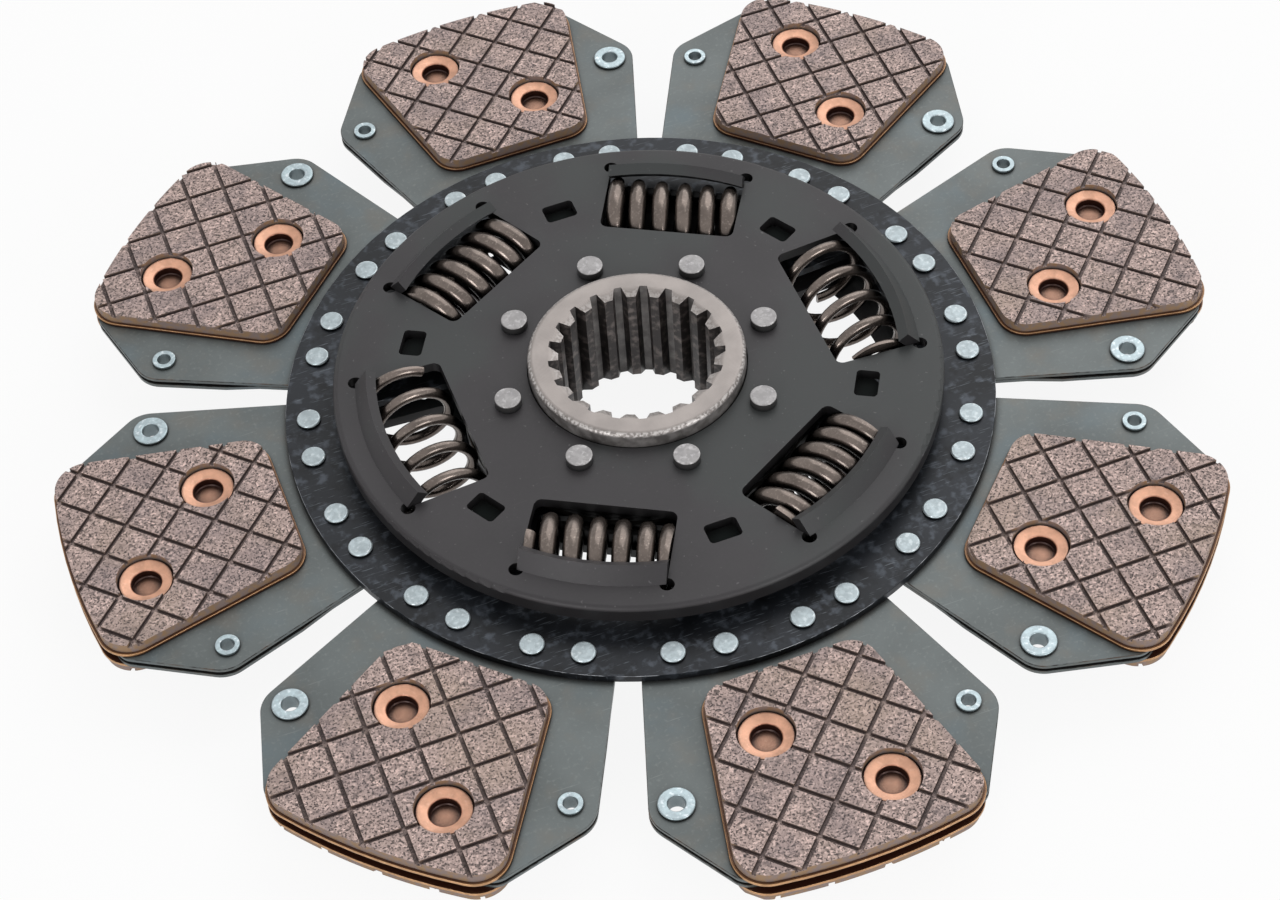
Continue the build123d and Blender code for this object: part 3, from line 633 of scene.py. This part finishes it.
class CLUTCH_OT_stage(bpy.types.Operator):
    """Add the pale floor, the soft lights, the white surroundings and the camera."""

    bl_idname = "clutch.stage"
    bl_label = "Stage"
    floor_size = 6.0
    floor_glow = 0.9
    surroundings_as_light = 0.5

    def execute(self, context):
        floor_height = cad_box[0].z
        bpy.ops.object.select_all(action="DESELECT")
        bpy.ops.mesh.primitive_plane_add(size=self.floor_size, location=(0, 0, floor_height))
        floor = context.active_object
        floor.name = "studio_floor"
        bpy.ops.object.transform_apply(location=True, rotation=True, scale=True)
        floor.data.materials.append(self.floor_material())
        self.add_lights()
        self.set_surroundings(context.scene)
        self.add_camera(context.scene)
        context.scene.view_settings.view_transform = "Standard"
        return {"FINISHED"}

    def floor_material(self):
        """White floor that keeps a faint shadow: most of it glows for the camera, the rest is lit."""
        material, tree, _ = start_material("white_studio_floor")
        lit = add_node(tree, "BsdfDiffuse", {"Color": (0.9, 0.9, 0.9)})
        glow = add_node(tree, "Emission", {"Color": (1, 1, 1), "Strength": 1.0})
        values = {0: self.background_rays(tree), 1: self.floor_glow}
        share = add_node(tree, "Math", values, operation="MULTIPLY")
        mixed = add_node(tree, "MixShader", {0: share, 1: lit, 2: glow})
        add_node(tree, "OutputMaterial", {"Surface": mixed})
        return material

    def background_rays(self, tree):
        """1 for what the camera sees, straight or in metal and glass, and 0 for light on the object."""
        straight = add_node(tree, "LightPath", output="Is Camera Ray")
        rays = straight.node.outputs
        seen = add_node(tree, "Math", {0: straight, 1: rays["Is Glossy Ray"]}, operation="MAXIMUM")
        return add_node(tree, "Math", {0: seen, 1: rays["Is Transmission Ray"]}, operation="MAXIMUM")

    def add_lights(self):
        """A large soft key light from behind on the right and two small low ones from the near side."""
        lights = [
            ("key_light", (0.75, 0.8, 1.1), 1.5, 9.5),
            ("near_left_light", (-1.0, -0.95, 0.6), 0.5, 5.5),
            ("near_right_light", (0.55, -1.25, 0.55), 0.5, 5.0),
        ]
        for name, place, size, power in lights:
            bpy.ops.object.light_add(type="AREA", location=place)
            light = bpy.context.active_object
            light.name = name
            light.data.size = size
            light.data.energy = power
            light.rotation_mode = "QUATERNION"
            light.rotation_quaternion = (-Vector(place)).to_track_quat("-Z", "Y")

    def set_surroundings(self, scene):
        """White surroundings, half as strong as a light as they are as a background."""
        world = bpy.data.worlds.new("white_studio")
        scene.world = world
        world.use_nodes = True
        tree = world.node_tree
        tree.nodes.clear()
        values = {"Value": self.background_rays(tree), "To Min": self.surroundings_as_light}
        strength = add_node(tree, "MapRange", values)
        background = add_node(tree, "Background", {"Color": (1, 1, 1), "Strength": strength})
        add_node(tree, "OutputWorld", {"Surface": background})

    def add_camera(self, scene):
        """A long lens, seen from the near left and above, leaning a little."""
        place = Vector((-167.017, -531.113, 640.231)) * MM
        target = Vector((-8.843, -24.273, 2.5)) * MM
        bpy.ops.object.camera_add(location=place)
        camera = bpy.context.active_object
        camera.name = "photo_camera"
        camera.rotation_mode = "QUATERNION"
        lean = Quaternion((0, 0, 1), radians(-4.483))
        camera.rotation_quaternion = (target - place).to_track_quat("-Z", "Y") @ lean
        camera.data.sensor_width = 36.0
        camera.data.lens = 80.24
        camera.data.clip_start = 0.01
        camera.data.clip_end = 20.0
        scene.camera = camera


class CLUTCH_OT_side_plates(PieceOperator):
    """Finish the two pressed side plates, with their windows, spring lips and rims."""

    bl_idname = "clutch.side_plates"
    bl_label = "Side Plates"

    def execute(self, context):
        sizes, colours = self.settings(context)
        materials = [phosphated_steel(colours), worn_and_highlit_plate_edge(colours)]
        for node in ("front_side_plate", "rear_side_plate"):
            dress(node, sizes.plate_edge, materials)
        return {"FINISHED"}


class CLUTCH_OT_drive_disc(PieceOperator):
    """Finish the flat drive disc."""

    bl_idname = "clutch.drive_disc"
    bl_label = "Drive Disc"

    def execute(self, context):
        sizes, colours = self.settings(context)
        dress("drive_disc", sizes.disc_edge, [hardened_steel(colours), rubbed_disc_edge(colours)])
        return {"FINISHED"}


class CLUTCH_OT_hub(PieceOperator):
    """Finish the splined hub."""

    bl_idname = "clutch.hub"
    bl_label = "Hub"

    def execute(self, context):
        sizes, colours = self.settings(context)
        dress("hub", sizes.hub_edge, [hub_steel(colours)])
        return {"FINISHED"}


class CLUTCH_OT_plate_rivets(PieceOperator):
    """Finish the hub rivets and the ring rivets with pressed, bevelled heads."""

    bl_idname = "clutch.plate_rivets"
    bl_label = "Plate Rivets"

    def execute(self, context):
        sizes, colours = self.settings(context)
        # Hub rivet faces, with painted shade on their walls.
        face = zinc("pressed_hub_rivet_steel", colours.hub_rivet, "#b0aeaf", "#757374", 0.3)
        # Painted highlight with rubbed spots: the rounded edge takes a lighter copy of the rivet tone.
        rim = zinc("rubbed_and_highlit_hub_rivet_edge", shade(colours.hub_rivet, 1.2), "#dedcdc", "#8a8888", 0.5)
        dress("hub_rivets", sizes.hub_rivet_edge, [face, rim], 3)
        # Ring rivet faces, with painted shade on their walls.
        face = zinc("zinc_plated_ring_rivet_steel", colours.rivet, "#c3cbce", "#7f888c", 0.35)
        # Painted highlight: the bevel takes a lighter copy of the rivet tone, lighter still on its walls.
        rim = zinc("highlit_ring_rivet_edge", shade(colours.rivet, 1.4), "#eef2f4", "#98a0a4", 1.3)
        dress("drive_rivets", sizes.ring_rivet_edge, [face, rim])
        return {"FINISHED"}


class CLUTCH_OT_segments(PieceOperator):
    """Finish the eight pairs of paddle segments."""

    bl_idname = "clutch.segments"
    bl_label = "Paddle Segments"

    def execute(self, context):
        sizes, colours = self.settings(context)
        materials = [spring_steel(colours), sheared_edge(colours)]
        for node in numbered("front_segment_") + numbered("rear_segment_"):
            dress(node, sizes.segment_edge, materials)
        return {"FINISHED"}


class CLUTCH_OT_pads(PieceOperator):
    """Finish the sixteen friction pads, with chipped edges along their grooves."""

    bl_idname = "clutch.pads"
    bl_label = "Friction Pads"

    def execute(self, context):
        sizes, colours = self.settings(context)
        materials = [sintered_lining(colours), chipped_lining_edge(colours)]
        for node in numbered("front_pad_") + numbered("rear_pad_"):
            dress(node, sizes.pad_edge, materials)
        return {"FINISHED"}


class CLUTCH_OT_backing_plates(PieceOperator):
    """Finish the copper-plated backing plates under the pads."""

    bl_idname = "clutch.backing_plates"
    bl_label = "Backing Plates"

    def execute(self, context):
        sizes, colours = self.settings(context)
        tone = colours.backing
        # Painted shade: the slopes take a slightly darker copy of the backing tone.
        edge = shade(tone, 0.95)
        materials = [copper_plate("copper_plated_backing_steel", tone, edge, "#3a1c12", "#dcb488")]
        for node in ("front_backing_plates", "rear_backing_plates"):
            dress(node, sizes.backing_edge, materials)
        return {"FINISHED"}


class CLUTCH_OT_pad_rivets(PieceOperator):
    """Model the hollow pad rivets, with a trumpet-shaped mouth in each recess."""

    bl_idname = "clutch.pad_rivets"
    bl_label = "Pad Rivets"
    sides = 56
    throat_steps = 6
    head_chamfer = 0.25 * MM
    flare_depth = 1.45 * MM
    lip_depth = 0.7 * MM
    rim_thickness = 0.3 * MM
    rim_taper = 0.15 * MM
    rim_round = 0.12 * MM
    rim_flat = 0.5 * MM
    floor_round = 0.3 * MM

    def execute(self, context):
        sizes, colours = self.settings(context)
        # Painted light: the flat rim takes a lighter colour than the rivet's slopes.
        rim = linear("#dea88b")
        material = copper_plate("copper_plated_rivet_steel", rim, colours.copper, "#2a0f08", "#eebfa4")
        for node, turn in (("front_pad_rivets", 0), ("rear_pad_rivets", pi)):
            lowest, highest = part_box(node)
            middle = (lowest.z + highest.z) / 2
            profile = self.profile(sizes, highest.z - lowest.z)
            rivet = turned_piece(node + "_finished", profile, self.sides)
            rivet.data.materials.append(material)
            places = [
                Matrix.Translation((spot.x, spot.y, middle)) @ Matrix.Rotation(turn, 4, "X")
                for spot in solid_middles(node)
            ]
            settle(joined_copies(rivet, places), node)
        return {"FINISHED"}

    def profile(self, sizes, height):
        """From the flat head up the barrel to the flared rim, down its cone and into the bore."""
        base = -height / 2
        head_top = base + sizes.rivet_head_height
        rim = height / 2
        lip_radius = sizes.rivet_bore + sizes.rivet_throat
        lip_height = rim - self.lip_depth
        points = [
            (sizes.rivet_head - self.head_chamfer, base),
            (sizes.rivet_head, base + self.head_chamfer),
            (sizes.rivet_head, head_top),
            (sizes.rivet_neck, head_top),
            (sizes.rivet_neck, rim - self.flare_depth),
            (sizes.rivet_rim - self.rim_taper, rim - self.rim_thickness - self.rim_taper),
            (sizes.rivet_rim, rim - self.rim_thickness),
            (sizes.rivet_rim, rim - self.rim_round),
            (sizes.rivet_rim - self.rim_round, rim),
            (sizes.rivet_rim - self.rim_flat, rim),
            (sizes.rivet_rim - 1.5 * self.rim_flat, rim - 0.16 * self.rim_flat),
        ]
        for step in range(self.throat_steps + 1):
            angle = pi / 2 * step / self.throat_steps
            radius = lip_radius - sizes.rivet_throat * sin(angle)
            points.append((radius, lip_height - sizes.rivet_throat * (1 - cos(angle))))
        points.append((sizes.rivet_bore, head_top + self.floor_round))
        points.append((sizes.rivet_bore - self.floor_round, head_top))
        return points


class CLUTCH_OT_eyelets(PieceOperator):
    """Finish the large and small eyelets at the paddles' shoulders."""

    bl_idname = "clutch.eyelets"
    bl_label = "Eyelets"

    def execute(self, context):
        sizes, colours = self.settings(context)
        # Painted shade: the eyelets' walls take a darker copy of their tone.
        material = zinc("bright_zinc_eyelet_steel", colours.eyelet, "#e6edf1", "#929ca2", 0.6)
        for node in ("large_eyelets", "small_eyelets"):
            dress(node, sizes.eyelet_edge, [material], 3)
        return {"FINISHED"}


class CLUTCH_OT_springs(PieceOperator):
    """Model the six coil springs from round wire, with closed and ground ends."""

    bl_idname = "clutch.springs"
    bl_label = "Damper Springs"
    tips_in_front = ("spring_5", "spring_6")
    front_tip_start = radians(30)
    wire_sides = 18
    steps_per_turn = 40
    ground_share = 0.05

    def execute(self, context):
        sizes, colours = self.settings(context)
        material = tempered_wire(colours)
        nodes = numbered("spring_")
        spans = {}
        for index, node in enumerate(nodes):
            angle = 2 * pi * index / len(nodes)
            tangent = Vector((-sin(angle), cos(angle), 0))
            along = [vertex.co.dot(tangent) for vertex in frame["nodes"][node].data.vertices]
            spans[node] = (angle, tangent, max(along) - min(along))
        longest = max(length for _, _, length in spans.values())
        lowest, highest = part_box(nodes[0])
        diameter = highest.z - lowest.z
        for node, (angle, tangent, length) in spans.items():
            soft = length > longest - MM
            wire = sizes.soft_wire if soft else sizes.stiff_wire
            turns = sizes.soft_turns if soft else sizes.stiff_turns
            if node in self.tips_in_front:
                turns += (pi / 2 - self.front_tip_start) / (2 * pi)
            closed = sizes.soft_closed if soft else sizes.stiff_closed
            spring = self.coil(node + "_finished", wire, turns, closed, length, diameter)
            turn = Matrix.Rotation(angle, 4, "Z")
            seat = turn @ Matrix.Translation((SPRING_CIRCLE, 0, 0)) @ Matrix.Rotation(pi / 2, 4, "X")
            start = self.front_tip_start if node in self.tips_in_front else -pi / 2
            spring.data.transform(seat @ Matrix.Rotation(start, 4, "Z"))
            spring.data.materials.append(material)
            settle(spring, node)
            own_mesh(spring)
        return {"FINISHED"}

    def coil(self, name, wire, turns, closed, length, diameter):
        """A coil spring about Z, its middle at the origin."""
        loose_pitch = 2 * wire
        radius = (diameter - wire) / 2
        bpy.ops.object.select_all(action="DESELECT")
        bpy.ops.mesh.primitive_circle_add(
            vertices=self.wire_sides, radius=wire / 2, rotation=(pi / 2, 0, 0), location=(radius, 0, 0)
        )
        spring = bpy.context.active_object
        spring.name = name
        bpy.ops.object.transform_apply(location=True, rotation=True, scale=True)
        bpy.ops.object.modifier_add(type="SCREW")
        screw = spring.modifiers[-1]
        screw.axis = "Z"
        screw.angle = 2 * pi * turns
        screw.screw_offset = loose_pitch * turns
        screw.steps = round(self.steps_per_turn * turns)
        screw.render_steps = screw.steps
        bpy.ops.object.modifier_apply(modifier=screw.name)
        self.close_ends(spring, wire, turns, closed, length, loose_pitch)
        bpy.ops.object.mode_set(mode="EDIT")
        bpy.ops.mesh.select_all(action="SELECT")
        bpy.ops.mesh.remove_doubles(threshold=MERGE_DISTANCE)
        bpy.ops.mesh.select_all(action="DESELECT")
        bpy.ops.mesh.select_non_manifold()
        bpy.ops.mesh.edge_face_add()
        for side in (-1, 1):
            bpy.ops.mesh.select_all(action="SELECT")
            bpy.ops.mesh.bisect(
                plane_co=(0, 0, side * length / 2), plane_no=(0, 0, side), use_fill=True, clear_outer=True
            )
        bpy.ops.mesh.select_all(action="SELECT")
        bpy.ops.mesh.normals_make_consistent(inside=False)
        bpy.ops.object.mode_set(mode="OBJECT")
        bpy.ops.object.shade_smooth_by_angle(angle=SMOOTH_ANGLE)
        return spring

    def close_ends(self, spring, wire, turns, closed, length, loose_pitch):
        """Move each point of the even coil to its height on a coil with closed ends."""
        end_height = self.ground_share * wire
        closed_rise = wire * closed
        active_rise = length - 2 * (end_height + closed_rise)
        for vertex in spring.data.vertices:
            part_turn = atan2(vertex.co.y, vertex.co.x) / (2 * pi)
            turn = part_turn + round(vertex.co.z / loose_pitch - part_turn)
            if turn <= closed:
                height = end_height + wire * turn
            elif turn >= turns - closed:
                height = length - end_height - wire * (turns - turn)
            else:
                height = end_height + closed_rise + active_rise * (turn - closed) / (turns - 2 * closed)
            vertex.co.z += height - loose_pitch * turn - length / 2


class CLUTCH_OT_inner_rings(PieceOperator):
    """Finish the bearing ring, washers, thrust rings, disc spring and support plate inside the damper."""

    bl_idname = "clutch.inner_rings"
    bl_label = "Inner Rings"

    def execute(self, context):
        sizes, colours = self.settings(context)
        nylon = plain_finish("glass_filled_nylon", colours.nylon, 0.0, 0.5, 1.5)
        fibre = plain_finish("pressed_fibre", colours.fibre, 0.0, 0.8, 1.0)
        steel = plain_finish("bare_rolled_steel", colours.ring, 0.8, 0.38, 6.0)
        blackened = plain_finish("blackened_support_steel", colours.support, 0.0, 0.85, 6.0)
        finishes = {"bearing_plastic": nylon, "washer_fibre": fibre, "ring_steel": steel}
        for node, slot in slot_of_node.items():
            if slot in finishes:
                material = blackened if node == "support_plate" else finishes[slot]
                dress(node, sizes.ring_edge, [material])
        return {"FINISHED"}


class CLUTCH_PT_sidebar(bpy.types.Panel):
    """Lists the steps that dress the clutch disc."""

    bl_idname = "CLUTCH_PT_sidebar"
    bl_label = "Clutch Disc"
    bl_space_type = "VIEW_3D"
    bl_region_type = "UI"
    bl_category = "Clutch Disc"

    def draw(self, context):
        layout = self.layout
        for step in STEPS:
            layout.operator(step.bl_idname)
        for group in (context.scene.clutch_disc_sizes, context.scene.clutch_disc_colours):
            column = layout.column()
            for name in group.bl_rna.properties.keys():
                if name not in ("name", "rna_type"):
                    column.prop(group, name)


STEPS = (
    CLUTCH_OT_stage,
    CLUTCH_OT_side_plates,
    CLUTCH_OT_drive_disc,
    CLUTCH_OT_hub,
    CLUTCH_OT_plate_rivets,
    CLUTCH_OT_segments,
    CLUTCH_OT_pads,
    CLUTCH_OT_backing_plates,
    CLUTCH_OT_pad_rivets,
    CLUTCH_OT_eyelets,
    CLUTCH_OT_springs,
    CLUTCH_OT_inner_rings,
)
CLASSES = (ClutchDiscSizes, ClutchDiscColours, *STEPS, CLUTCH_PT_sidebar)


def register():
    """Make the classes and the scene's settings known to Blender."""
    for item in CLASSES:
        bpy.utils.register_class(item)
    bpy.types.Scene.clutch_disc_sizes = bpy.props.PointerProperty(type=ClutchDiscSizes)
    bpy.types.Scene.clutch_disc_colours = bpy.props.PointerProperty(type=ClutchDiscColours)


def unregister():
    """Take the settings and the classes away again."""
    del bpy.types.Scene.clutch_disc_colours
    del bpy.types.Scene.clutch_disc_sizes
    for item in reversed(CLASSES):
        bpy.utils.unregister_class(item)


def main():
    """Dress the whole clutch disc."""
    register()
    for step in STEPS:
        group, name = step.bl_idname.split(".")
        if getattr(getattr(bpy.ops, group), name)() != {"FINISHED"}:
            raise RuntimeError("a step did not finish: " + step.bl_label)


if __name__ == "__main__":
    main()
